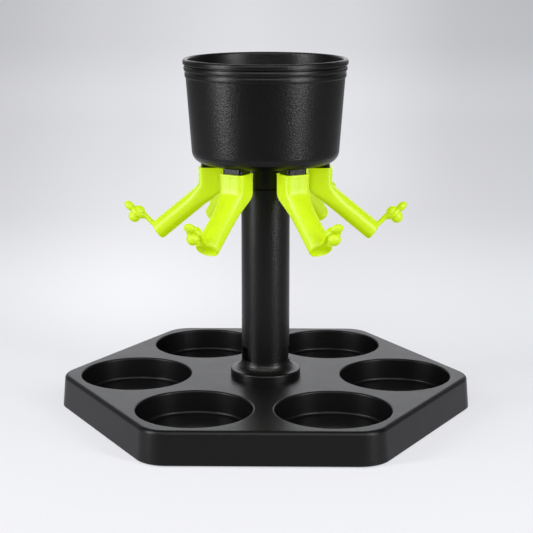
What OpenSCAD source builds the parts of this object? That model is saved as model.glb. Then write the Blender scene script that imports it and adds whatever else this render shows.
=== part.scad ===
// Party shot dispenser: a hexagonal tray with a recess for each cup, a column that locks
// on the tray with a bayonet, and a hopper that feeds one soft spout above each recess.
// Z is up, the table is at zero, and two corners of the tray lie on the X axis.

/* [Tray] */
// Width of the tray across two opposite rounded corners
tray_span = 230; // [225:1:250]
// Height of the tray's side, from its lower edge to the deck
tray_h = 17.7; // [16:0.1:24]
// Radius of the tray's six corners
tray_corner_r = 18; // [10:1:26]
// How much further out the side stands at its foot than at the deck
tray_draft = 1.3; // [0.5:0.1:2.5]
// Rounding along the edge of the deck
deck_edge_r = 2.4; // [1:0.1:4]
// Height of the tray's lower edge above the table
shadow_gap = 0.8; // [0.4:0.1:1.2]
// Thickness of the plate that closes the tray from below
cover_t = 2; // [1.6:0.1:2.6]
// Width of the tray's rim around that plate
cover_rim = 3; // [2:0.5:6]

/* [Cup recesses] */
// Radius of a recess at its floor
recess_r = 30.4; // [26:0.1:31.5]
// Depth of a recess below the deck
recess_depth = 12.7; // [8:0.1:13]
// Distance from the column's axis to the middle of a recess
recess_pitch_r = 73.1; // [71:0.1:76]
// How much wider a recess is at the top of its wall than at its floor
recess_draft = 0.5; // [0.1:0.1:1.5]
// Rounding between a recess's wall and its floor
recess_floor_r = 1.6; // [0.5:0.1:4]
// Rounding of a recess's upper edge
recess_edge_r = 1.1; // [0.3:0.1:2]

/* [Feet] */
// Radius of a rubber foot
foot_r = 7; // [5:0.5:12]
// Thickness of a rubber foot
foot_t = 2.1; // [1.8:0.1:2.4]

/* [Column] */
// Outer radius of the column
column_r = 13.4; // [12.4:0.1:15]
// Wall of the column
column_wall = 3; // [2.8:0.1:3.6]
// Length of the column, from the deck to its joint with the hopper's neck
column_h = 107.7; // [80:0.1:150]
// Outer radius of the foot flange
flange_r = 19.6; // [18.5:0.1:26]
// Height of the flange's upright edge
flange_h = 4.2; // [3:0.1:6]
// Rounding of the flange's upper edge
flange_edge_r = 0.9; // [0.4:0.1:1.4]

/* [Bayonet] */
// Turn that takes the column from locked to free, in degrees
twist_a = 18; // [12:1:24]
// Width of a lug, in degrees around the column
lug_a = 14.5; // [10:0.5:18]
// Height of the lower edge of a window above the deck
window_z = 9.8; // [9.4:0.1:14]
// Height of a window
window_h = 7.4; // [6:0.1:9]
// Radial clearance between the hub and the column
hub_gap = 0.1; // [0.05:0.05:0.3]
// Clearance around a lug in its window
lug_gap = 0.3; // [0.2:0.05:0.5]

/* [Hopper] */
// Height of the neck between the column and the hopper's underside
neck_h = 13.7; // [10:0.1:20]
// Height of the hopper from its underside to its rim
hopper_h = 56.3; // [45:0.1:80]
// Outer radius of the hopper's wall where the lower rounding would start
hopper_foot_r = 39.9; // [39:0.1:44]
// Outer radius of the wall right under the bands
hopper_top_r = 43.3; // [42:0.1:48]
// Thickness of the hopper's wall
hopper_wall = 2.1; // [1.6:0.1:3]
// Outer rounding between wall and underside
hopper_bend_r = 6.5; // [4:0.5:8]
// Thickness of the hopper's floor
hopper_floor_t = 2.4; // [1.8:0.1:4]
// Height of the rounded lip at the rim
lip_h = 3.2; // [2.4:0.1:5]
// How far the lip stands out from the wall
lip_out = 1.6; // [0.8:0.1:3]
// Height of each raised band under the lip
band_h = 3; // [2:0.1:4]
// Height of the groove above each band
band_groove_h = 0.4; // [0.2:0.1:1]
// Height of the cone that parts the drink in the hopper
cone_h = 12; // [8:0.5:18]
// Radius of that cone at the floor
cone_r = 22; // [18:0.5:24]
// Length of the round plug that goes down into the column
plug_len = 16; // [10:0.5:24]

/* [Spigots] */
// Distance from the column's axis to the middle of a spigot
spigot_pitch_r = 30; // [29:0.1:32]
// Width of a spigot across its pitch circle
spigot_w = 11.7; // [10:0.1:12.5]
// Depth of a spigot along the radius
spigot_d = 10.2; // [9.6:0.1:11]
// Length of a spigot below the hopper
spigot_len = 12; // [9:0.1:12.6]
// Wall of a spigot
spigot_wall = 1.8; // [1.2:0.1:2.2]

/* [Spouts] */
// Wall of the square socket that goes over a spigot
socket_wall = 1.4; // [1:0.1:2]
// Length of spigot that stays in sight above the socket
socket_gap = 2.7; // [1:0.1:4]
// Height from the socket's top edge down to the middle of the mouth
spout_drop = 36.2; // [34:0.1:42]
// Distance from the socket's axis out to the middle of the mouth
spout_reach = 30; // [24:0.1:34]
// Slope of the tube below the horizontal, in degrees
tube_a = 39.5; // [36:0.5:42]
// Half of the oval tube's height, which is also the radius of its round sides
tube_r = 5.4; // [5:0.1:6]
// Width of the oval tube
tube_w = 14; // [12.2:0.1:14.6]
// Radius of the passage through the tube
tube_bore_r = 3.6; // [3.2:0.1:3.8]
// Half of the height of the mouth's oval dish
mouth_r = 4.4; // [4:0.1:4.4]
// Depth of the dish
mouth_depth = 1.8; // [1.4:0.1:2.5]
// Clearance between a spigot and its socket
socket_fit = 0.1; // [0.05:0.05:0.2]

/* [Stoppers] */
// Radial clearance of the ball in the passage
ball_gap = 0.15; // [0.15:0.05:0.3]
// Thickness of the strap and the disc
strap_t = 2.1; // [1.6:0.1:2.6]
// Width of the strap at its waist
strap_w = 4.4; // [3:0.1:6]
// Distance from the rim of the mouth out to the hinge line
hinge_out = 1.7; // [1.6:0.1:3]
// Lean of the open strap away from the plane of the mouth, in degrees
strap_lean = 5; // [0:0.5:20]
// Radius of the disc that covers the mouth
disc_r = 4.8; // [4.4:0.1:5.2]
// Radius of the dome on the back of the disc
dome_r = 3.9; // [3:0.1:4.2]
// Height of the dome above the strap's middle
dome_h = 4.6; // [3:0.1:6]
// Radius of the pull tab
tab_r = 3.3; // [2.6:0.1:4]
// Thickness of the pull tab
tab_t = 3.4; // [2.4:0.1:4]
// How far the middle of the pull tab stands out beyond the disc's edge
tab_out = 1; // [0.4:0.1:4]

/* [Hidden] */

// One overrun serves every cut
over = 0.5;
// Clearance between plates and the seats that they are laid in
plate_fit = 0.15;
// Clearance of a screw's shank in its hole
screw_fit = 0.05;
// Places around the tray: one recess, one spout and one foot at each
places = 6;
place_a = 360 / places;
// Fineness of large and small round forms
fine = 128;
small = 48;
// Segments in a drawn quarter arc, and in a corner of the tray
arc_steps = 6;
corner_steps = 15;

// Heights
deck_z = shadow_gap + tray_h;
cover_inset = 0.4;
cover_z = shadow_gap + cover_inset;
recess_z = deck_z - recess_depth;
joint_z = deck_z + column_h;
hopper_z = joint_z + neck_h;
socket_z = hopper_z - socket_gap;
mouth_z = socket_z - spout_drop;

// Tray
foot_pocket = foot_t - cover_z;
foot_edge_r = 0.5;
screw_edge_gap = 12;
tray_flat_r = (tray_span / 2 - tray_corner_r) * cos(place_a / 2) + tray_corner_r;
screw_pitch_r = tray_flat_r - screw_edge_gap;
screw_r = 1.45;
screw_len = 10;
screw_head_r = 2.8;
screw_head_h = 1.5;

// Hub: a post with a flange let into the deck, and three lugs. The lugs aren't evenly
// spaced, so that the column goes on one way round.
bore_r = column_r - column_wall;
hub_r = bore_r - hub_gap;
hub_head_h = 3.6;
hub_top = window_z + window_h + hub_head_h;
hub_flange_r = 15;
hub_flange_t = 3;
hub_bore_r = 3.5;
hub_chamfer = 0.8;
hub_screw_pitch_r = 6.6;
hub_screw_len = 12;
hub_boss_t = 2.6;
lug_start_as = [217.4, -0.9, 106.5];
lug_out = 2.2;
lug_shelf_out = 1.3;
lug_shelf_h = 2.5;

// Column
flare_r = flange_r - column_r - flange_edge_r;
groove_r = hub_r + lug_out + lug_gap;
seam_chamfer = 0.35;
key_w = 3;
key_out = 1;
key_a = 90;
key_gap = 0.2;
key_foot_gap = 2;
key_len = plug_len - key_foot_gap;

// Hopper
plug_r = bore_r - hub_gap;
plug_wall = 2.4;
neck_fillet = 1.2;
lip_r = hopper_top_r + lip_out;
inner_bend_r = hopper_bend_r - hopper_wall;
cone_tip_r = 3;
cone_tip_a = 40;
band_outs = [0.6, 1.1];
nose_share = 0.5;
lip_wall = 2.6;
lip_foot_r = 0.7;
spigot_corner_r = 1.5;
passage_corner_r = 1;

// Spouts, drawn in the plane of the radius (first number) and the height (second)
socket_w = spigot_w + 2 * (socket_fit + socket_wall);
socket_d = spigot_d + 2 * (socket_fit + socket_wall);
socket_corner_r = spigot_corner_r + socket_fit + socket_wall / 2;
bend_a = 90 - tube_a;
bend_out_r = 4;
bend_in_r = 3;
square_to_round = 12;
rim_round = 0.35;
mouth_round = 0.5;
pocket_bottom_gap = 0.3;
elbow_extra_r = 0.25;
elbow_r = tube_bore_r + elbow_extra_r;
elbow_below = 2;
down = [cos(tube_a), -sin(tube_a)];
across = [sin(tube_a), cos(tube_a)];
mouth_at = [spigot_pitch_r + spout_reach, mouth_z];
tongue_w = 6;
tongue_t = 2;
tongue_gap = 0.3;
tongue_eye_share = 0.6;

// Stoppers: the ball meets the passage when the strap folds over its hinge line
hinge_along = tube_r + hinge_out;
hinge_lift = tongue_gap + strap_t / 2;
hinge_at = mouth_at + hinge_along * across + hinge_lift * down;
ball_r = tube_bore_r - ball_gap;
ball_low = 2.6;
dome_shift = 0.6;
dome_along = hinge_along + dome_shift;
tab_along = hinge_along + disc_r + tab_out;
tab_lift = (tab_t - strap_t) / 2;
strap_rise_a = 90 - tube_a - strap_lean;
closed_a = 180 - strap_lean;
waist_share = 0.35;
shoulder_share = 0.8;

// Points of an arc in a drawn outline
function arc(centre, r, a0, a1, n = arc_steps) =
    [for (i = [0:n]) centre + r * [cos(a0 + (a1 - a0) * i / n), sin(a0 + (a1 - a0) * i / n)]];

// A smooth step from 0 to 1
function ease(x) = let (c = min(1, max(0, x))) c * c * (3 - 2 * c);

// Corner points of a rectangle with round corners, never doubled where it becomes a circle
function round_rect(half_x, half_y, r, n = arc_steps) =
    let (c = min(r, half_x, half_y))
    [for (q = [0:3]) for (i = [0:n - 1])
        let (a = 90 * (q + (i + 0.5) / n),
             sx = (q == 0 || q == 3) ? 1 : -1,
             sy = q < 2 ? 1 : -1)
        [sx * (half_x - c) + c * cos(a), sy * (half_y - c) + c * sin(a)]];

// Outline of the tray at a distance in from its foot
function hexagon(inset) =
    let (r = tray_corner_r - inset, centre_r = tray_span / 2 - tray_corner_r)
    [for (k = [0:places - 1]) for (i = [0:corner_steps])
        let (a = place_a * (k - 0.5 + i / corner_steps))
        [centre_r * cos(place_a * k) + r * cos(a), centre_r * sin(place_a * k) + r * sin(a)]];

// A solid drawn over rings of points, each ring with as many points as the next
module loft(rings) {
    n = len(rings[0]);
    last = len(rings) - 1;
    points = [for (ring = rings) for (p = ring) p];
    sides = [for (j = [0:last - 1]) for (i = [0:n - 1])
        for (t = [0:1])
            let (a = j * n + i, b = j * n + (i + 1) % n)
            t == 0 ? [a, a + n, b] : [b, a + n, b + n]];
    ends = [[for (i = [0:n - 1]) i], [for (i = [n - 1:-1:0]) last * n + i]];
    polyhedron(points, concat(sides, ends), convexity = 6);
}

module at_places() {
    for (k = [0:places - 1]) rotate([0, 0, place_a * k]) children();
}

// A wedge of a ring, from one angle to another, between two radii and two heights
module ring_sector(r0, r1, a0, a1, z0, z1) {
    translate([0, 0, z0]) rotate([0, 0, a0]) rotate_extrude(angle = a1 - a0, $fn = fine)
        translate([r0, 0]) square([r1 - r0, z1 - z0]);
}

// Tray

module recess_cut() {
    wall_foot = [recess_r, recess_z + recess_floor_r];
    wall_top = [recess_r + recess_draft, deck_z - recess_edge_r];
    outline = concat(
        [[0, recess_z]],
        arc([recess_r - recess_floor_r, wall_foot[1]], recess_floor_r, -90, 0),
        arc([wall_top[0] + recess_edge_r, wall_top[1]], recess_edge_r, 180, 90),
        [[wall_top[0] + recess_edge_r, deck_z + over], [0, deck_z + over]]);
    translate([recess_pitch_r, 0, 0]) rotate_extrude($fn = fine) polygon(outline);
}

module tray_shape() {
    edge = [for (i = [0:arc_steps]) let (a = 90 * i / arc_steps)
        [tray_draft + deck_edge_r * (1 - cos(a)), deck_z - deck_edge_r * (1 - sin(a))]];
    side = edge[0] - [0, shadow_gap];
    // The side and the rounding run on past both ends, which are then cut flat
    below = edge[0] - side * (1 + over / side[1]);
    above = edge[arc_steps] + (edge[arc_steps] - edge[arc_steps - 1]);
    levels = concat([below], [for (i = [0:arc_steps - 1]) edge[i]], [above]);
    intersection() {
        loft([for (l = levels) [for (p = hexagon(l[0])) [p[0], p[1], l[1]]]]);
        translate([-tray_span, -tray_span, shadow_gap]) cube([2 * tray_span, 2 * tray_span, tray_h]);
    }
}

module cover_outline(inset) {
    polygon(hexagon(cover_rim + inset));
}

module tray() {
    color("#1b1b1d") difference() {
        tray_shape();
        at_places() recess_cut();
        // Seat of the plate below
        translate([0, 0, shadow_gap - over])
            linear_extrude(cover_z + cover_t - shadow_gap + over) cover_outline(0);
        // Seat of the hub's flange, and the holes for its screws
        translate([0, 0, deck_z - hub_flange_t])
            cylinder(h = hub_flange_t + over, r = hub_flange_r + plate_fit, $fn = fine);
        hub_screw_places() translate([0, 0, hub_screw_z() - over]) {
            cylinder(h = deck_z, r = screw_r + screw_fit, $fn = small);
            translate([0, 0, over - deck_z])
                cylinder(h = deck_z, r = screw_head_r + plate_fit, $fn = small);
        }
        cover_screw_places() translate([0, 0, cover_z])
            cylinder(h = screw_len + screw_fit, r = screw_r + screw_fit, $fn = small);
    }
}

module base_cover() {
    color("#202023") difference() {
        translate([0, 0, cover_z]) linear_extrude(cover_t) cover_outline(plate_fit);
        at_places() translate([recess_pitch_r, 0, cover_z - over])
            cylinder(h = foot_pocket + over, r = foot_r + plate_fit, $fn = small);
        cover_screw_places() translate([0, 0, cover_z]) {
            translate([0, 0, -over])
                cylinder(h = cover_t + 2 * over, r = screw_r + screw_fit, $fn = small);
            screw_head(screw_fit);
        }
    }
}

module foot(k) {
    outline = concat([[0, 0]],
        arc([foot_r - foot_edge_r, foot_edge_r], foot_edge_r, -90, 0),
        [[foot_r, foot_t], [0, foot_t]]);
    color("#2a2a2c") rotate([0, 0, place_a * k]) translate([recess_pitch_r, 0, 0])
        rotate_extrude($fn = small) polygon(outline);
}

// Screws

module screw_head(gap) {
    cylinder(h = screw_head_h, r1 = screw_head_r + gap, r2 = screw_r + gap, $fn = small);
}

module cover_screw_places() {
    at_places() rotate([0, 0, place_a / 2]) translate([screw_pitch_r, 0, 0]) children();
}

module cover_screws() {
    color("silver") cover_screw_places() translate([0, 0, cover_z]) {
        screw_head(0);
        cylinder(h = screw_len, r = screw_r, $fn = small);
    }
}

function hub_screw_z() = deck_z - hub_flange_t - hub_boss_t;

module hub_screw_places() {
    for (k = [0:2]) rotate([0, 0, place_a * (2 * k + 0.5)])
        translate([hub_screw_pitch_r, 0, 0]) children();
}

module hub_screws() {
    color("silver") hub_screw_places() translate([0, 0, hub_screw_z() - screw_head_h]) {
        cylinder(h = screw_head_h, r = screw_head_r, $fn = small);
        cylinder(h = hub_screw_len, r = screw_r, $fn = small);
    }
}

// Hub and column

module lug(start_a) {
    z0 = deck_z + window_z + lug_gap;
    z1 = deck_z + window_z + window_h - lug_gap;
    ring_sector(hub_r - over, hub_r + lug_shelf_out, start_a, start_a + lug_a, z0, z1);
    ring_sector(hub_r - over, hub_r + lug_out, start_a, start_a + lug_a, z0 + lug_shelf_h, z1);
}

module bayonet_hub() {
    color("#18181a") difference() {
        union() {
            translate([0, 0, deck_z - hub_flange_t])
                cylinder(h = hub_flange_t, r = hub_flange_r, $fn = fine);
            translate([0, 0, deck_z - hub_flange_t]) rotate_extrude($fn = fine) polygon([
                [0, 0], [hub_r, 0], [hub_r, hub_flange_t + hub_top - hub_chamfer],
                [hub_r - hub_chamfer, hub_flange_t + hub_top], [0, hub_flange_t + hub_top]]);
            for (a = lug_start_as) lug(a);
        }
        translate([0, 0, deck_z - hub_flange_t - over])
            cylinder(h = hub_flange_t + hub_top + 2 * over, r = hub_bore_r, $fn = small);
        hub_screw_places() translate([0, 0, deck_z - hub_flange_t - over])
            cylinder(h = hub_screw_len, r = screw_r + screw_fit, $fn = small);
    }
}

module column() {
    tube_foot = flange_h + flare_r;
    outline = concat(
        [[bore_r, 0], [flange_r, 0]],
        arc([flange_r - flange_edge_r, flange_h - flange_edge_r], flange_edge_r, 0, 90),
        arc([column_r + flare_r, tube_foot], flare_r, -90, -180),
        [[column_r, column_h - seam_chamfer], [column_r - seam_chamfer, column_h],
         [bore_r, column_h]]);
    color("#1a1a1c") translate([0, 0, deck_z]) difference() {
        rotate_extrude($fn = fine) polygon(outline);
        for (a = lug_start_as) {
            // Window, with the lug at its far end when the column is locked
            ring_sector(bore_r - over, column_r + over, a - twist_a - lug_gap_a(),
                a + lug_a + lug_gap_a(), window_z, window_z + window_h);
            // Way in for the lug, inside the wall, from the foot up to the window
            ring_sector(bore_r - over, groove_r, a - twist_a - lug_gap_a(),
                a - twist_a + lug_a + lug_gap_a(), -over, window_z + over);
        }
        // Slot for the plug's key
        rotate([0, 0, key_a]) translate([0, -key_w / 2 - key_gap, column_h - key_len - key_gap])
            cube([plug_r + key_out + key_gap, key_w + 2 * key_gap, key_len + key_gap + over]);
    }
}

// Angle that the lug's clearance takes at the hub
function lug_gap_a() = 180 / PI * lug_gap / hub_r;

// Hopper

// Radius of the outer wall at a height above the underside
function wall_r(z) = hopper_foot_r + (hopper_top_r - hopper_foot_r) * z / bands_foot();
function bands_foot() = hopper_h - lip_h - len(band_outs) * (band_h + band_groove_h);

// One raised ring of the wall, round at its nose
function ring_band(z, h, r_base, out) =
    [for (i = [0:2 * arc_steps]) let (a = 90 * (i / arc_steps - 1))
        [r_base + out * pow(cos(a), nose_share), z + h / 2 * (1 + sin(a))]];

// Half of the hopper's section, with the underside at zero: the plug and the neck, the
// outer wall up to the lip, and the inner wall down to the cone
module hopper_section() {
    band_pitch = band_h + band_groove_h;
    lip_z = hopper_h - lip_h;
    lip_round = lip_wall / 2;
    turn_a = atan((hopper_top_r - hopper_foot_r) / bands_foot());
    plug_foot = -neck_h - plug_len;
    foot_in_r = wall_r(hopper_bend_r) - hopper_wall;
    polygon(concat(
        [[0, 0], [plug_r - plug_wall, 0], [plug_r - plug_wall, plug_foot],
         [plug_r - seam_chamfer, plug_foot], [plug_r, plug_foot + seam_chamfer],
         [plug_r, -neck_h], [column_r - seam_chamfer, -neck_h],
         [column_r, seam_chamfer - neck_h]],
        arc([column_r + neck_fillet, -neck_fillet], neck_fillet, 180, 90),
        arc([wall_r(hopper_bend_r) - hopper_bend_r, hopper_bend_r], hopper_bend_r, -90, -turn_a),
        ring_band(bands_foot(), band_h, hopper_top_r, band_outs[0]),
        ring_band(bands_foot() + band_pitch, band_h, hopper_top_r, band_outs[1]),
        [[hopper_top_r, lip_z]],
        arc([lip_r - lip_foot_r, lip_z + lip_foot_r], lip_foot_r, -90, 0),
        arc([lip_r - lip_round, hopper_h - lip_round], lip_round, 0, 180, 2 * arc_steps),
        arc([foot_in_r - inner_bend_r, hopper_floor_t + inner_bend_r], inner_bend_r, 0, -90),
        [[cone_r, hopper_floor_t]],
        arc([0, hopper_floor_t + cone_h - cone_tip_r], cone_tip_r, cone_tip_a, 90)));
}

module spigot_outline(grow, corner_r) {
    polygon(round_rect(spigot_d / 2 + grow, spigot_w / 2 + grow, corner_r));
}

module hopper() {
    color("#1b1b1d") difference() {
        union() {
            translate([0, 0, hopper_z]) rotate_extrude($fn = fine) hopper_section();
            // Key that turns the spouts to the recesses
            rotate([0, 0, key_a])
                translate([plug_r - plug_wall / 2, -key_w / 2, joint_z - key_len])
                cube([plug_wall / 2 + key_out, key_w, key_len]);
            at_places() translate([spigot_pitch_r, 0, hopper_z - spigot_len])
                linear_extrude(spigot_len + hopper_floor_t / 2) spigot_outline(0, spigot_corner_r);
        }
        at_places() translate([spigot_pitch_r, 0, hopper_z - spigot_len - over])
            linear_extrude(spigot_len + hopper_floor_t + 2 * over)
            spigot_outline(-spigot_wall, passage_corner_r);
    }
}

// Spouts

// Where a spout's rails bend: the outer one is hollow, the inner one round
function rail_corner(r, side) =
    [r, mouth_z + (mouth_at[0] - r) * tan(tube_a) + side * tube_r / cos(tube_a)];

// A rail around its bend, for a share from 0 at the socket to 1 at the tube
function outer_bend(share) =
    let (corner = rail_corner(spigot_pitch_r + socket_d / 2, 1), a = bend_a * share,
         start = corner + [0, bend_out_r * tan(bend_a / 2)])
    start + bend_out_r * [1 - cos(a), -sin(a)];
function inner_bend(share) =
    let (corner = rail_corner(spigot_pitch_r - socket_d / 2, -1), a = bend_a * share,
         start = corner + [0, bend_in_r * tan(bend_a / 2)])
    start + bend_in_r * [1 - cos(a), -sin(a)];

// A ring across the spout between a point of each rail
function spout_ring(outer, inner, half_w, corner_r) =
    let (middle = (outer + inner) / 2, half = norm(outer - inner) / 2,
         u = (outer - inner) / (2 * half))
    [for (p = round_rect(half, half_w, corner_r))
        [middle[0] + u[0] * p[0], p[1], middle[1] + u[1] * p[0]]];

// A ring square across the tube, at a distance back from the mouth
function tube_ring(back, half_w, corner_r, r = tube_r) =
    spout_ring(mouth_at - back * down + r * across, mouth_at - back * down - r * across,
        half_w, corner_r);

module spout_outside() {
    bends = 4;
    slopes = 8;
    rim_as = [0, 45, 90];
    start_back = (mouth_at - outer_bend(1)) * down - mouth_round;
    top = [spigot_pitch_r, socket_z];
    // From the mouth up to the socket's top edge
    loft(concat(
        [for (a = rim_as)
            let (inset = mouth_round * (1 - sin(a)))
            tube_ring(mouth_round * (1 - cos(a)), tube_w / 2 - inset, tube_r - inset,
                tube_r - inset)],
        [for (i = [slopes:-1:0])
            let (share = ease(i / slopes), back = start_back - square_to_round * i / slopes)
            tube_ring(back, socket_w / 2 + (tube_w - socket_w) / 2 * share,
                socket_corner_r + (tube_r - socket_corner_r) * share)],
        [for (i = [bends:-1:0])
            spout_ring(outer_bend(i / bends), inner_bend(i / bends),
                socket_w / 2, socket_corner_r)],
        [spout_ring(top + [socket_d / 2, -rim_round], top - [socket_d / 2, rim_round],
            socket_w / 2, socket_corner_r),
         spout_ring(top + [socket_d / 2 - rim_round, 0], top - [socket_d / 2 - rim_round, 0],
            socket_w / 2 - rim_round, socket_corner_r - rim_round)]));
}

// Puts what is drawn along +Z on the tube's axis, with +Z out of the mouth and +X upwards
module along_tube() {
    translate([mouth_at[0], 0, mouth_at[1]]) rotate([0, 90 + tube_a, 0]) rotate([0, 0, 180])
        children();
}

// The tongue that carries the stopper's hinge, in the plane of the mouth
module tongue() {
    along_tube() translate([0, 0, -tongue_t]) linear_extrude(tongue_t) {
        translate([tube_bore_r + (tube_r - tube_bore_r) / 2, -tongue_w / 2])
            square([hinge_along - tube_bore_r, tongue_w]);
        translate([hinge_along, 0]) circle(d = tongue_w * tongue_eye_share, $fn = small);
    }
}

module spout_inside() {
    pocket_z = hopper_z - spigot_len - pocket_bottom_gap;
    elbow_z = mouth_z + spout_reach * tan(tube_a);
    translate([spigot_pitch_r, 0, pocket_z])
        linear_extrude(socket_z - pocket_z + over)
        spigot_outline(socket_fit, spigot_corner_r + socket_fit);
    translate([spigot_pitch_r, 0, elbow_z - elbow_below])
        cylinder(h = pocket_z - elbow_z + elbow_below + over, r = elbow_r, $fn = small);
    along_tube() {
        translate([0, 0, -spout_reach / cos(tube_a)])
            cylinder(h = spout_reach / cos(tube_a) + over, r = tube_bore_r, $fn = small);
        mouth_dish();
    }
}

// An oval dish around the end of the passage, with walls that lean outwards
module mouth_dish() {
    side = tube_w / 2 - tube_r;
    h = mouth_depth + over;
    wide_r = tube_bore_r + (mouth_r - tube_bore_r) * h / mouth_depth;
    translate([0, 0, -mouth_depth]) {
        for (s = [-1, 1]) translate([0, s * side, 0])
            cylinder(h = h, r1 = tube_bore_r, r2 = wide_r, $fn = small);
        rotate([90, 0, 0]) linear_extrude(2 * side, center = true)
            polygon([[-tube_bore_r, 0], [tube_bore_r, 0], [wide_r, h], [-wide_r, h]]);
    }
}

module spout(k) {
    color("#c6f21a") rotate([0, 0, place_a * k]) difference() {
        union() {
            spout_outside();
            tongue();
        }
        spout_inside();
    }
}

// Stoppers, drawn with the hinge line along Y at the origin, the strap along +X and the
// ball below it, then leant into the open place where they are moulded

module strap() {
    half = [[0, tongue_w / 2], [hinge_along * waist_share, strap_w / 2],
        [hinge_along, disc_r * shoulder_share], [tab_along, strap_w / 2]];
    outline = concat(half, [for (i = [len(half) - 1:-1:0]) [half[i][0], -half[i][1]]]);
    translate([0, 0, -strap_t / 2]) linear_extrude(strap_t) polygon(outline);
    rotate([90, 0, 0]) translate([0, 0, -tongue_w / 2])
        cylinder(h = tongue_w, d = strap_t, $fn = small);
}

// A disc with a fully rounded edge
module pill(r, t) {
    outline = concat([[0, -t / 2]], arc([r - t / 2, 0], t / 2, -90, 90), [[0, t / 2]]);
    rotate_extrude($fn = small) polygon(outline);
}

module stopper_shape() {
    strap();
    translate([dome_along, 0, 0]) pill(disc_r, strap_t);
    translate([hinge_along, 0, -ball_low]) sphere(r = ball_r, $fn = small);
    // The dome on the back, above the strap's middle only
    translate([dome_along, 0, 0]) rotate_extrude($fn = small)
        polygon(concat([[0, 0], [dome_r, 0]],
            [for (i = [1:arc_steps]) let (a = 90 * i / arc_steps)
                [dome_r * cos(a), dome_h * sin(a)]]));
    // The tab's underside is level with the disc's, so that it lies over the rim when closed
    translate([tab_along, 0, tab_lift]) pill(tab_r, tab_t);
}

module stopper(k) {
    color("#c6f21a") rotate([0, 0, place_a * k]) translate([hinge_at[0], 0, hinge_at[1]])
        rotate([0, -strap_rise_a, 0]) stopper_shape();
}

tray();
base_cover();
cover_screws();
bayonet_hub();
hub_screws();
foot(0);  // foot_1
foot(1);  // foot_2
foot(2);  // foot_3
foot(3);  // foot_4
foot(4);  // foot_5
foot(5);  // foot_6
column();
hopper();
spout(0);  // spout_1
spout(1);  // spout_2
spout(2);  // spout_3
spout(3);  // spout_4
spout(4);  // spout_5
spout(5);  // spout_6
stopper(0);  // stopper_1
stopper(1);  // stopper_2
stopper(2);  // stopper_3
stopper(3);  // stopper_4
stopper(4);  // stopper_5
stopper(5);  // stopper_6
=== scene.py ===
from math import atan2, cos, pi, radians, sin

import bmesh
import bpy
from mathutils import Matrix, Vector


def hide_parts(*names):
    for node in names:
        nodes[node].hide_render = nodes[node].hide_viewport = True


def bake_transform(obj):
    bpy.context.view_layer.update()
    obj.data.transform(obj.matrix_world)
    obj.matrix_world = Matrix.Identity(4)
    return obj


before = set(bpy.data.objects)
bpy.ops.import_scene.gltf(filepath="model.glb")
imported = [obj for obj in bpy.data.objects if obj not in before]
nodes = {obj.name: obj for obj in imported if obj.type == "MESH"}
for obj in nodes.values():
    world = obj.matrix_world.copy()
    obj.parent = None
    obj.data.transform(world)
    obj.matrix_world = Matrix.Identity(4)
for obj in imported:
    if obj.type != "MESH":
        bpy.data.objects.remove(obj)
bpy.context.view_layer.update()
MM = 0.001
PLACES = range(1, 7)
STEP_A = radians(60)  # from one place to the next


# Shader maths: a socket with the operators that the finishes below use

class Wire:
    def __init__(self, tree, socket):
        self.tree, self.socket = tree, socket

    def math(self, operation, *values):
        return self.tree.add("ShaderNodeMath", {"operation": operation}, dict(enumerate(values)))

    def __add__(self, other):
        return self.math("ADD", self, other)

    def __radd__(self, other):
        return self.math("ADD", other, self)

    def __sub__(self, other):
        return self.math("SUBTRACT", self, other)

    def __rsub__(self, other):
        return self.math("SUBTRACT", other, self)

    def __mul__(self, other):
        return self.math("MULTIPLY", self, other)

    def __rmul__(self, other):
        return self.math("MULTIPLY", other, self)

    def __truediv__(self, other):
        return self.math("DIVIDE", self, other)

    def __pow__(self, other):
        return self.math("POWER", self, other)

    def size(self):
        return self.math("ABSOLUTE", self)

    def ramp(self, low, high):
        """A smooth step from 0 at low to 1 at high."""
        return self.tree.add("ShaderNodeMapRange", {"interpolation_type": "SMOOTHSTEP"},
                             {"Value": self, "From Min": low, "From Max": high})


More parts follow.
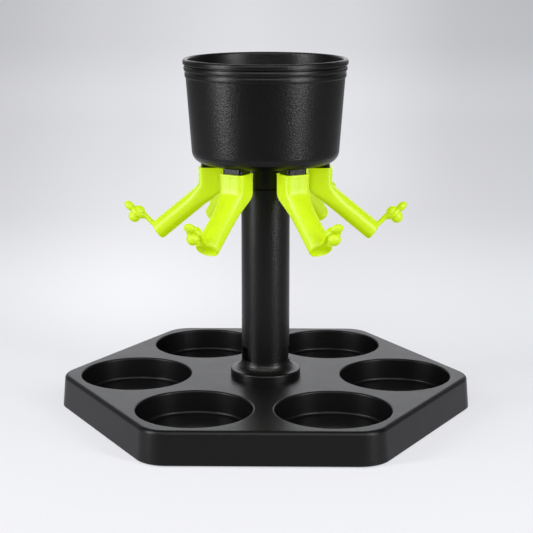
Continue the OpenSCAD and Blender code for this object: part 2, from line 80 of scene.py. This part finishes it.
class Finish:
    """A material and its nodes."""

    def __init__(self, name):
        self.material = bpy.data.materials.new(name)
        self.material.use_nodes = True
        self.nodes = self.material.node_tree.nodes
        self.links = self.material.node_tree.links
        self.nodes.clear()
        self.out = self.nodes.new("ShaderNodeOutputMaterial")
        self.shader = self.nodes.new("ShaderNodeBsdfPrincipled")
        self.links.new(self.shader.outputs[0], self.out.inputs["Surface"])

    def feed(self, node, values):
        for key, value in values.items():
            if isinstance(value, Wire):
                self.links.new(value.socket, node.inputs[key])
            else:
                node.inputs[key].default_value = value

    def add(self, kind, settings=None, values=None, output=0):
        node = self.nodes.new(kind)
        for key, value in (settings or {}).items():
            setattr(node, key, value)
        self.feed(node, values or {})
        return Wire(self, node.outputs[output])

    def set(self, **values):
        """Sets inputs of the shader; an underscore stands for a space."""
        self.feed(self.shader, {key.replace("_", " "): v for key, v in values.items()})

    def place(self):
        return self.add("ShaderNodeTexCoord", output="Object")

    def axes(self):
        """The three numbers of the place on the object."""
        node = self.nodes.new("ShaderNodeSeparateXYZ")
        self.feed(node, {"Vector": self.place()})
        return [Wire(self, socket) for socket in node.outputs]

    def noise(self, scale, detail, roughness=0.5):
        return self.add("ShaderNodeTexNoise", {"noise_dimensions": "3D"},
                        {"Vector": self.place(), "Scale": scale, "Detail": detail,
                         "Roughness": roughness})

    def bump(self, height, distance, strength, normal=None):
        values = {"Height": height, "Distance": distance, "Strength": strength}
        if normal:
            values["Normal"] = normal
        return self.add("ShaderNodeBump", None, values)

    def mix(self, share, a, b):
        """A colour between a and b."""
        node = self.nodes.new("ShaderNodeMix")
        node.data_type = "RGBA"
        self.feed(node, {"Factor": share})
        for value, socket in ((a, node.inputs[6]), (b, node.inputs[7])):
            if isinstance(value, Wire):
                self.links.new(value.socket, socket)
            else:
                socket.default_value = value
        return Wire(self, node.outputs[2])


BLUE_SHARE = 1.15  # the blacks and greys are a little cool


def grey(value):
    return (value, value, value * BLUE_SHARE, 1)


GRAIN_DEPTH, SKIN_DEPTH = 0.00013, 0.00008
DARK_SHARE, LIGHT_SHARE = 0.85, 1.2
GLOSS_SPREAD = 0.06


def moulded_plastic(name, tone, roughness, grain, ior):
    """Black moulded plastic: a fine spark-eroded grain over a slightly uneven skin."""
    finish = Finish(name)
    skin = finish.noise(55, 3)
    fine = finish.noise(850, 3, 0.6)
    cloud = finish.noise(18, 2)
    finish.set(
        Base_Color=finish.mix(cloud, grey(tone * DARK_SHARE), grey(tone * LIGHT_SHARE)),
        Roughness=roughness - GLOSS_SPREAD / 2 + GLOSS_SPREAD * skin,
        Normal=finish.bump(fine, GRAIN_DEPTH * grain, 1.0, finish.bump(skin, SKIN_DEPTH, 0.5)),
        IOR=ior)
    return finish.material


def rubber(name):
    """Soft black rubber of the feet."""
    finish = Finish(name)
    skin = finish.noise(900, 3, 0.6)
    finish.set(Base_Color=finish.mix(skin, grey(0.014), grey(0.022)), Roughness=0.62 + 0.1 * skin,
               Normal=finish.bump(skin, 0.00004, 0.7))
    return finish.material


def plated_steel(name):
    """Zinc plated steel with the fine scratches of its tumbling."""
    finish = Finish(name)
    cloud = finish.noise(400, 3)
    scratch = finish.noise(5000, 2, 0.7)
    finish.set(Base_Color=finish.mix(cloud, (0.50, 0.51, 0.53, 1), (0.62, 0.62, 0.60, 1)),
               Metallic=0.95 + 0.05 * cloud, Roughness=0.26 + 0.14 * cloud,
               Normal=finish.bump(scratch, 0.000006, 0.6))
    return finish.material


LIME = ((0.245, 0.335, 0.002, 1), (0.255, 0.345, 0.003, 1))
# Emission colours of the lime: painted fill light that lifts its shaded sides
LIME_PAINTED_FILL_LIGHT = ((0.30, 0.425, 0, 1), (0.31, 0.435, 0, 1))
SEAM_CORE, SEAM_EDGE, SEAM_RISE = 0.00006, 0.00022, 3.0


def silicone(name):
    """Lime silicone: a satin skin with the thin line where the mould's halves met. Its
    emission is painted fill light, so that it stays bright in the shade."""
    finish = Finish(name)
    x, y, z = finish.axes()
    turned = y.math("ARCTAN2", y, x)
    sector = turned.math("PINGPONG", turned, STEP_A / 2)
    radius = (x * x + y * y) ** 0.5
    seam = 1 - (sector * radius).ramp(SEAM_CORE, SEAM_EDGE)
    cloud = finish.noise(30, 3)
    skin = finish.noise(420, 3, 0.6)
    finish.set(
        Base_Color=finish.mix(cloud, *LIME),
        Roughness=0.36 + 0.08 * skin,
        Normal=finish.bump(skin + SEAM_RISE * seam, 0.00004, 0.6),
        # The emission is painted fill light, which keeps the shaded sides bright
        Emission_Color=finish.mix(cloud, *LIME_PAINTED_FILL_LIGHT), Emission_Strength=1.0,
        IOR=1.47, Subsurface_Weight=0.5, Subsurface_Scale=0.004,
        Subsurface_Radius=(0.8, 1.0, 0.1))
    return finish.material


# Names of the plastics, with their tone, roughness, share of grain and refraction
finishes = {
    "black": moulded_plastic("satin_black_plastic", 0.0018, 0.34, 1.0, 1.35),
    "tray": moulded_plastic("tray_plastic", 0.0022, 0.37, 0.6, 1.29),
    "base_cover": moulded_plastic("matt_black_plastic", 0.012, 0.5, 1.3, 1.45),
    "foot": rubber("foot_rubber"),
    "screws": plated_steel("zinc_plated_steel"),
    "lime": silicone("lime_silicone"),
}
lime = finishes["lime"]
KINDS = (("tray", "tray"), ("base_cover", "base_cover"), ("foot", "foot"),
         ("cover_screws", "screws"), ("hub_screws", "screws"), ("spout", "lime"),
         ("stopper", "lime"), ("", "black"))
for name, node in nodes.items():
    kind = next(kind for start, kind in KINDS if name.startswith(start))
    for slot in node.material_slots:
        slot.material = finishes[kind]


# Selecting, and moving what is selected, in edit mode

def start_piece(name, make, **settings):
    """Adds a primitive by itself, puts its place in its mesh and enters edit mode on it."""
    bpy.ops.object.select_all(action="DESELECT")
    make(**settings)
    bpy.ops.object.transform_apply(location=True, rotation=True, scale=True)
    piece = bpy.context.object
    piece.name = piece.data.name = name
    bpy.ops.object.mode_set(mode="EDIT")
    bpy.ops.mesh.select_all(action="SELECT")
    return piece


def pick(piece, test, kind="VERT"):
    """Selects the vertices or faces whose middle passes the test."""
    bpy.ops.mesh.select_mode(type=kind)
    bpy.ops.mesh.select_all(action="DESELECT")
    mesh = bmesh.from_edit_mesh(piece.data)
    for item in mesh.verts if kind == "VERT" else mesh.faces:
        corners = [item] if kind == "VERT" else item.verts
        if test(sum((v.co for v in corners), Vector()) / len(corners)):
            item.select_set(True)
    mesh.select_flush_mode()
    bmesh.update_edit_mesh(piece.data)


def spread(piece, tilt):
    """Middle and half sizes of what is selected, along the tilted first axis and along Y."""
    points = [v.co.copy() for v in bmesh.from_edit_mesh(piece.data).verts if v.select]
    first = Vector((cos(tilt), 0, sin(tilt)))
    along = [p.dot(first) for p in points]
    side = [p.y for p in points]
    middle = sum(points, Vector()) / len(points)
    middle += first * ((max(along) + min(along)) / 2 - middle.dot(first))
    middle.y = (max(side) + min(side)) / 2
    return middle, (max(along) - min(along)) / 2, (max(side) - min(side)) / 2


def turn(middle, angle):
    """Turns what is selected about the Y axis through middle."""
    if abs(angle) > 1e-6:
        bpy.ops.transform.rotate(value=angle, orient_axis="Y", orient_type="GLOBAL",
                                 center_override=middle)


def carry(piece, tilt, middle, new_tilt, half_first, half_y, round_share=0.0, flat=False):
    """Extrudes what is selected and carries it to a new middle, tilt and half sizes, with a
    share of roundness. Returns the new tilt."""
    bpy.ops.mesh.extrude_region_move()
    here, first, y = spread(piece, tilt)
    turn(here, -tilt)
    if round_share:
        bpy.ops.transform.resize(value=(MM / first, MM / y, 1), center_override=here)
        bpy.ops.transform.tosphere(value=round_share)
        here, first, y = spread(piece, 0.0)
    bpy.ops.transform.resize(value=(half_first * MM / first, half_y * MM / y, 0 if flat else 1),
                             center_override=here)
    turn(here, new_tilt)
    bpy.ops.transform.translate(value=Vector(middle) * MM - here)
    return new_tilt


def settle(piece, kind, **settings):
    """Adds a modifier and applies it."""
    bpy.ops.object.select_all(action="DESELECT")
    piece.select_set(True)
    bpy.context.view_layer.objects.active = piece
    step = piece.modifiers.new(kind.lower(), kind)
    for key, value in settings.items():
        setattr(step, key, value)
    bpy.ops.object.modifier_apply(modifier=step.name)


# A spout with its stopper, modelled at the first place, in millimetres

SPIGOT_R, SOCKET_Z = 30.0, 137.2
MOUTH = Vector((60.0, 0, 101.0))
TUBE_A = radians(39.5)
DOWN = Vector((cos(TUBE_A), 0, -sin(TUBE_A)))
ACROSS = Vector((sin(TUBE_A), 0, cos(TUBE_A)))
RIM_TOP = Vector((63.43, 0, 105.17))
DISC_A = radians(42)
NEAR = 0.1  # reach of the tests that pick what lies on a flat
ALONG = Vector((cos(DISC_A), 0, sin(DISC_A)))
OUT = Vector((-sin(DISC_A), 0, cos(DISC_A)))
DISC = RIM_TOP + Vector((7.4, 0, 6.0))


def rails(outer_back, inner_back, r=5.4):
    """Points of the tube's two rails, at distances back from the mouth."""
    return MOUTH - outer_back * DOWN + r * ACROSS, MOUTH - inner_back * DOWN - r * ACROSS


def between(outer, inner):
    """Middle, tilt and half size of the section between two rail points."""
    line = outer - inner
    return (outer + inner) / 2, atan2(line.z, line.x), line.length / 2


def spout_shell():
    """The spout without its stopper, as an open cage that a subdivision rounds."""
    ring_r = 7.15
    pocket_side, pocket_deep, pocket_z = 5.95, 5.2, 127.6
    piece = start_piece("spout", bpy.ops.mesh.primitive_circle_add, vertices=24,
                        radius=ring_r * MM, location=(SPIGOT_R * MM, 0, pocket_z * MM),
                        fill_type="NOTHING")
    # Four flat sides, which leave one vertex at each corner
    for axis, half in ((0, pocket_deep), (1, pocket_side)):
        for sign in (1, -1):
            offset = SPIGOT_R if axis == 0 else 0
            pick(piece, lambda p: sign * (p[axis] / MM - offset) > half - NEAR / 10)
            squash = [1, 1, 1]
            squash[axis] = 0
            centre = [0, 0, 0]
            centre[axis] = (offset + sign * half) * MM
            bpy.ops.transform.resize(value=squash, center_override=centre)
    bpy.ops.mesh.select_all(action="SELECT")
    tilt = 0.0
    # Up the pocket, over the socket's lip and down its outside
    for z, grow in ((128.4, 0), (132.5, 0), (SOCKET_Z - 0.7, 0), (SOCKET_Z - 0.22, 0.03),
                    (SOCKET_Z, 0.3), (SOCKET_Z, 1.2), (SOCKET_Z - 0.2, 1.47),
                    (SOCKET_Z - 0.65, 1.5), (SOCKET_Z - 1.2, 1.4), (133.4, 1.4)):
        tilt = carry(piece, tilt, (SPIGOT_R, 0, z), 0.0, pocket_deep + grow, pocket_side + grow)
    # The bend, as a fan of sections, on into the oval tube
    fan = [(Vector((36.6, 0, 130.4)), Vector((23.4, 0, 127.6)), 7.35, 0.0),
           (Vector((36.65, 0, 128.5)), Vector((23.45, 0, 125.3)), 7.35, 0.0),
           (Vector((37.1, 0, 127.05)), rails(0, 41.6)[1], 7.33, 0.05),
           (*rails(32.6, 38.6), 7.28, 0.15),
           (*rails(30.2, 34.6), 7.2, 0.35),
           (*rails(27.2, 30.0), 7.1, 0.6),
           (*rails(23.5, 24.6), 7.03, 0.85),
           (*rails(18.0, 18.0), 7.0, 1.0)]
    for outer, inner, half_y, share in fan:
        middle, new_tilt, half = between(outer, inner)
        tilt = carry(piece, tilt, middle, new_tilt, half, half_y, share)
    # To the mouth, over its rim, which is thickest on top, and into the passage
    for back, r, half_y, low in (
            (10.5, 5.4, 7.0, 0), (5.2, 5.42, 7.05, 0), (2.5, 5.45, 7.1, 0), (1.4, 5.4, 7.07, 0),
            (0.75, 5.25, 6.97, 0.1), (0.3, 4.95, 6.75, 0.3), (0.04, 4.5, 6.4, 0.65),
            (0.02, 3.9, 6.0, 1.05), (0.3, 3.4, 5.65, 1.35), (0.9, 3.15, 5.35, 1.4),
            (1.8, 3.15, 5.0, 1.2), (2.9, 3.3, 4.5, 0.8), (4.2, 3.5, 4.0, 0.35),
            (6.5, 3.6, 3.65, 0.05), (14, 3.6, 3.6, 0), (26, 3.6, 3.6, 0)):
        middle, new_tilt, half = between(*rails(back, back, r))
        tilt = carry(piece, tilt, middle - low * ACROSS, new_tilt, half, half_y)
    for middle, new_tilt, r in (((31.4, 0, 124.6), radians(40), 3.7), ((30, 0, 126.4), 0.0, 3.8),
                                ((30, 0, pocket_z), 0.0, 3.9)):
        tilt = carry(piece, tilt, middle, new_tilt, r, r)
    # The pocket's floor closes the two open edges
    pick(piece, lambda p: abs(p.z / MM - pocket_z) < NEAR / 10
         and abs(p.x / MM - SPIGOT_R) < pocket_deep + NEAR
         and abs(p.y / MM) < pocket_side + NEAR)
    bpy.ops.mesh.bridge_edge_loops()
    return piece


def from_rim(out, up):
    """A point beside the top of the mouth's rim."""
    return RIM_TOP + Vector((out, 0, up))


def on_head(along, lift):
    """A point of the stopper's head, along its disc and out of its back."""
    return DISC + along * ALONG + lift * OUT


def laid_flat(name, make, middle, **settings):
    """A primitive whose own Z turns to the disc's axis."""
    return start_piece(name, make, location=middle * MM, rotation=(0, -DISC_A, 0), **settings)


def squeeze(middle, along, lift):
    """Resizes what is selected along the disc's axis and across it."""
    turn(middle * MM, -DISC_A)
    bpy.ops.transform.resize(value=(along, along, lift), center_override=middle * MM)
    turn(middle * MM, DISC_A)


VOXEL = 0.2


def stopper():
    """Strap, disc, dome, ball and pull tab, run together into one soft skin."""
    parts = []
    # Disc and the tab's neck, as pads with round edges
    for name, place, r, thick, edge in (("disc", on_head(0, 0), 4.45, 2.0, 0.6),
                                        ("tab_neck", on_head(3.4, 0.1), 2.7, 2.3, 0.6)):
        parts.append(laid_flat(name, bpy.ops.mesh.primitive_cylinder_add, place, vertices=48,
                               radius=r * MM, depth=thick * MM))
        pick(parts[-1], lambda p: abs((p / MM - place).dot(OUT)) > thick / 2 - NEAR / 10, "FACE")
        bpy.ops.mesh.bevel(offset=edge * MM, segments=5, affect="EDGES")
        bpy.ops.object.mode_set(mode="OBJECT")
    # Dome on the back, ball on the face, and the round tab
    for name, place, r, lift in (("dome", on_head(-0.2, 0.75), 3.6, 1.0),
                                 ("ball", on_head(-0.1, -2.6), 3.4, 1.0),
                                 ("tab", on_head(5.6, 0), 3.45, 0.66)):
        parts.append(laid_flat(name, bpy.ops.mesh.primitive_uv_sphere_add, place, segments=48,
                               ring_count=24, radius=r * MM))
        squeeze(place, 1.0, lift)
        bpy.ops.object.mode_set(mode="OBJECT")
    # The strap rises steeply from inside the rim and widens into the disc
    parts.append(start_piece("strap", bpy.ops.mesh.primitive_circle_add, vertices=16,
                             radius=MM, fill_type="NGON", location=from_rim(-2.6, -0.3) * MM))
    tilt = 0.0
    for out, up, lean, half_t, half_w in (
            (-2.5, -0.3, -50, 1.3, 2.4), (-1.7, -0.2, -48, 1.45, 2.4),
            (-0.85, 0.25, -42, 1.4, 2.15), (0.0, 1.0, -40, 1.38, 2.0),
            (1.0, 2.15, -39, 1.4, 1.95), (2.1, 3.25, -41, 1.5, 2.05),
            (3.1, 4.1, -46, 1.65, 2.4), (4.1, 4.75, -52, 1.7, 3.0),
            (5.2, 5.4, -52, 1.4, 3.4)):
        tilt = carry(parts[-1], tilt, from_rim(out, up), radians(lean), half_t, half_w, flat=True)
    bpy.ops.mesh.select_all(action="SELECT")
    bpy.ops.mesh.normals_make_consistent(inside=False)
    bpy.ops.object.mode_set(mode="OBJECT")
    bpy.ops.object.select_all(action="DESELECT")
    for part in parts:
        part.select_set(True)
    bpy.context.view_layer.objects.active = parts[0]
    bpy.ops.object.join()
    settle(parts[0], "REMESH", mode="VOXEL", voxel_size=VOXEL * MM)
    settle(parts[0], "SMOOTH", factor=0.5, iterations=5)
    return parts[0]


first_spout = spout_shell()
bpy.ops.mesh.select_all(action="SELECT")
bpy.ops.mesh.normals_make_consistent(inside=False)
bpy.ops.object.mode_set(mode="OBJECT")
settle(first_spout, "SUBSURF", levels=2, render_levels=2)
first_stopper = stopper()
settle(first_spout, "BOOLEAN", operation="UNION", solver="EXACT", object=first_stopper)
bpy.data.objects.remove(first_stopper)
bpy.ops.object.shade_smooth()
first_spout.data.materials.clear()
first_spout.data.materials.append(lime)

for k in PLACES:
    place_a = STEP_A * (k - 1)
    soft = first_spout
    if k > 1:
        soft = first_spout.copy()
        soft.data = first_spout.data.copy()
        bpy.context.collection.objects.link(soft)
        soft.data.transform(Matrix.Rotation(place_a, 4, "Z"))
    soft.name = soft.data.name = "soft_spout_%d" % k
    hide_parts("spout_%d" % k, "stopper_%d" % k)
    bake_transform(soft)


# The studio, in metres

FLOOR_DROP = 0.00005  # keeps the floor clear of the feet
SWEEP_W, FLOOR_FRONT, FLOOR_BACK = 6.0, -0.4, 1.3
BEND_R, BEND_STEPS, WALL_H = 0.5, 8, 1.6
CAMERA_Y = 0.8  # how far the camera stands in front of the origin
PAPER = (0.27, 0.27, 0.28, 1)
STUDIO_WHITE = (1.99, 2.0, 2.08, 1)


def sweep():
    """Floor and backdrop in one piece. Its own colour carries the shadows, and what the camera
    and the shiny surfaces see is lifted to the pale tone of the studio."""
    piece = start_piece("studio_sweep", bpy.ops.mesh.primitive_plane_add, size=1.0,
                        location=(0, 0, -FLOOR_DROP))
    bpy.ops.transform.resize(value=(SWEEP_W, FLOOR_BACK - FLOOR_FRONT, 1),
                             center_override=(0, 0, 0))
    bpy.ops.transform.translate(value=(0, (FLOOR_BACK + FLOOR_FRONT) / 2, 0))
    pick(piece, lambda p: p.y > 0)
    for i in range(1, BEND_STEPS + 1):
        a = pi / 2 * i / BEND_STEPS
        bpy.ops.mesh.extrude_region_move()
        here, _, _ = spread(piece, 0.0)
        bpy.ops.transform.translate(
            value=Vector((0, FLOOR_BACK + BEND_R * sin(a), BEND_R * (1 - cos(a)))) - here)
    bpy.ops.mesh.extrude_region_move(TRANSFORM_OT_translate={"value": (0, 0, WALL_H)})
    bpy.ops.object.mode_set(mode="OBJECT")
    bpy.ops.object.shade_smooth()
    finish = Finish("studio_paint")
    x, y, z = finish.axes()
    seen = finish.nodes.new("ShaderNodeLightPath")
    camera_ray, glossy_ray, through_ray = (Wire(finish, seen.outputs[key]) for key in
                                           ("Is Camera Ray", "Is Glossy Ray",
                                            "Is Transmission Ray"))
    share = camera_ray + glossy_ray + through_ray
    # Across the picture, as the camera sees it, with painted shade outside the picture
    across = x / (y + CAMERA_Y)
    painted_falloff = (1 - 0.7 * across.size().ramp(0.185, 0.40)) * (0.3 + 0.7 * y.ramp(-0.36, -0.19))
    # Painted pools of light: the paper is painted a little brighter left of the middle,
    # behind the hopper, and in a strip behind the tray
    left = (across + 0.1).size().ramp(0.0, 0.14)
    middle = across.size().ramp(0.08, 0.19)
    painted_glow = (0.14 - 0.10 * left - 0.04 * middle) * y.ramp(-0.05, 0.3)
    painted_halo = 0.14 * (1 - (across - 0.01).size().ramp(0.02, 0.12)) * y.ramp(0.3, 0.9)
    painted_band = 0.07 - 0.07 * (y - 0.28).size().ramp(0.0, 0.35)
    # Above the picture the wall is painted brighter, a painted reflection which the tray's deck
    # mirrors
    painted_above = 2.1 * z.ramp(0.2, 0.45) * (1 - z.ramp(0.8, 1.3))
    # The wall is painted darker towards the top
    wall = 0.54 - 0.10 * z.ramp(0.0, 0.1) - 0.26 * z.ramp(0.05, 0.6)
    tone = wall + painted_glow + painted_halo + painted_band + painted_above
    # The studio's white is twice full white, so half of the tone is mixed in
    tone = 0.5 * tone * painted_falloff * share
    finish.set(Base_Color=PAPER, Roughness=0.9, Specular_IOR_Level=0.0,
               Emission_Color=finish.mix(tone, (0, 0, 0, 1), STUDIO_WHITE),
               Emission_Strength=1.0)
    piece.data.materials.append(finish.material)


sweep()


AIM_Z = 0.1


def softbox(name, azimuth, elevation, distance, width, height, power):
    """A rectangular soft light; azimuth 0 is at the camera's side, positive to its right."""
    a, e = radians(azimuth), radians(elevation)
    target = Vector((0, 0, AIM_Z))
    place = target + distance * Vector((sin(a) * cos(e), -cos(a) * cos(e), sin(e)))
    data = bpy.data.lights.new(name, "AREA")
    data.shape, data.size, data.size_y, data.energy = "RECTANGLE", width, height, power
    lamp = bpy.data.objects.new(name, data)
    bpy.context.collection.objects.link(lamp)
    lamp.matrix_world = Matrix.LocRotScale(place, (target - place).to_track_quat("-Z", "Y"), None)


softbox("left_softbox", -62, 17, 0.8, 0.15, 0.68, 6.6)
softbox("right_softbox", 50, 17, 0.8, 0.14, 0.68, 6)
softbox("front_softbox", 0, 40, 1.2, 1.2, 0.8, 10)

scene = bpy.context.scene
scene.view_settings.view_transform = "Standard"

world = bpy.data.worlds.new("studio")
scene.world = world
world.use_nodes = True
room = world.node_tree.nodes["Background"]
room.inputs["Color"].default_value = (0.86, 0.86, 0.89, 1)
room.inputs["Strength"].default_value = 0.09

# The camera was fitted to the tray, the recesses, the column and the hopper's rim
PICTURE_PX, FOCAL_PX, SENSOR_MM = 533, 1471.16, 36
LOOK_DOWN, LOOK_LEFT = radians(12.70), radians(0.88)
lens = bpy.data.cameras.new("camera")
lens.sensor_width = SENSOR_MM
lens.lens = FOCAL_PX / PICTURE_PX * SENSOR_MM
camera = bpy.data.objects.new("camera", lens)
bpy.context.collection.objects.link(camera)
camera.location = (0.012816, -0.79991, 0.2610)
camera.rotation_euler = (pi / 2 - LOOK_DOWN, 0, LOOK_LEFT)
scene.camera = camera
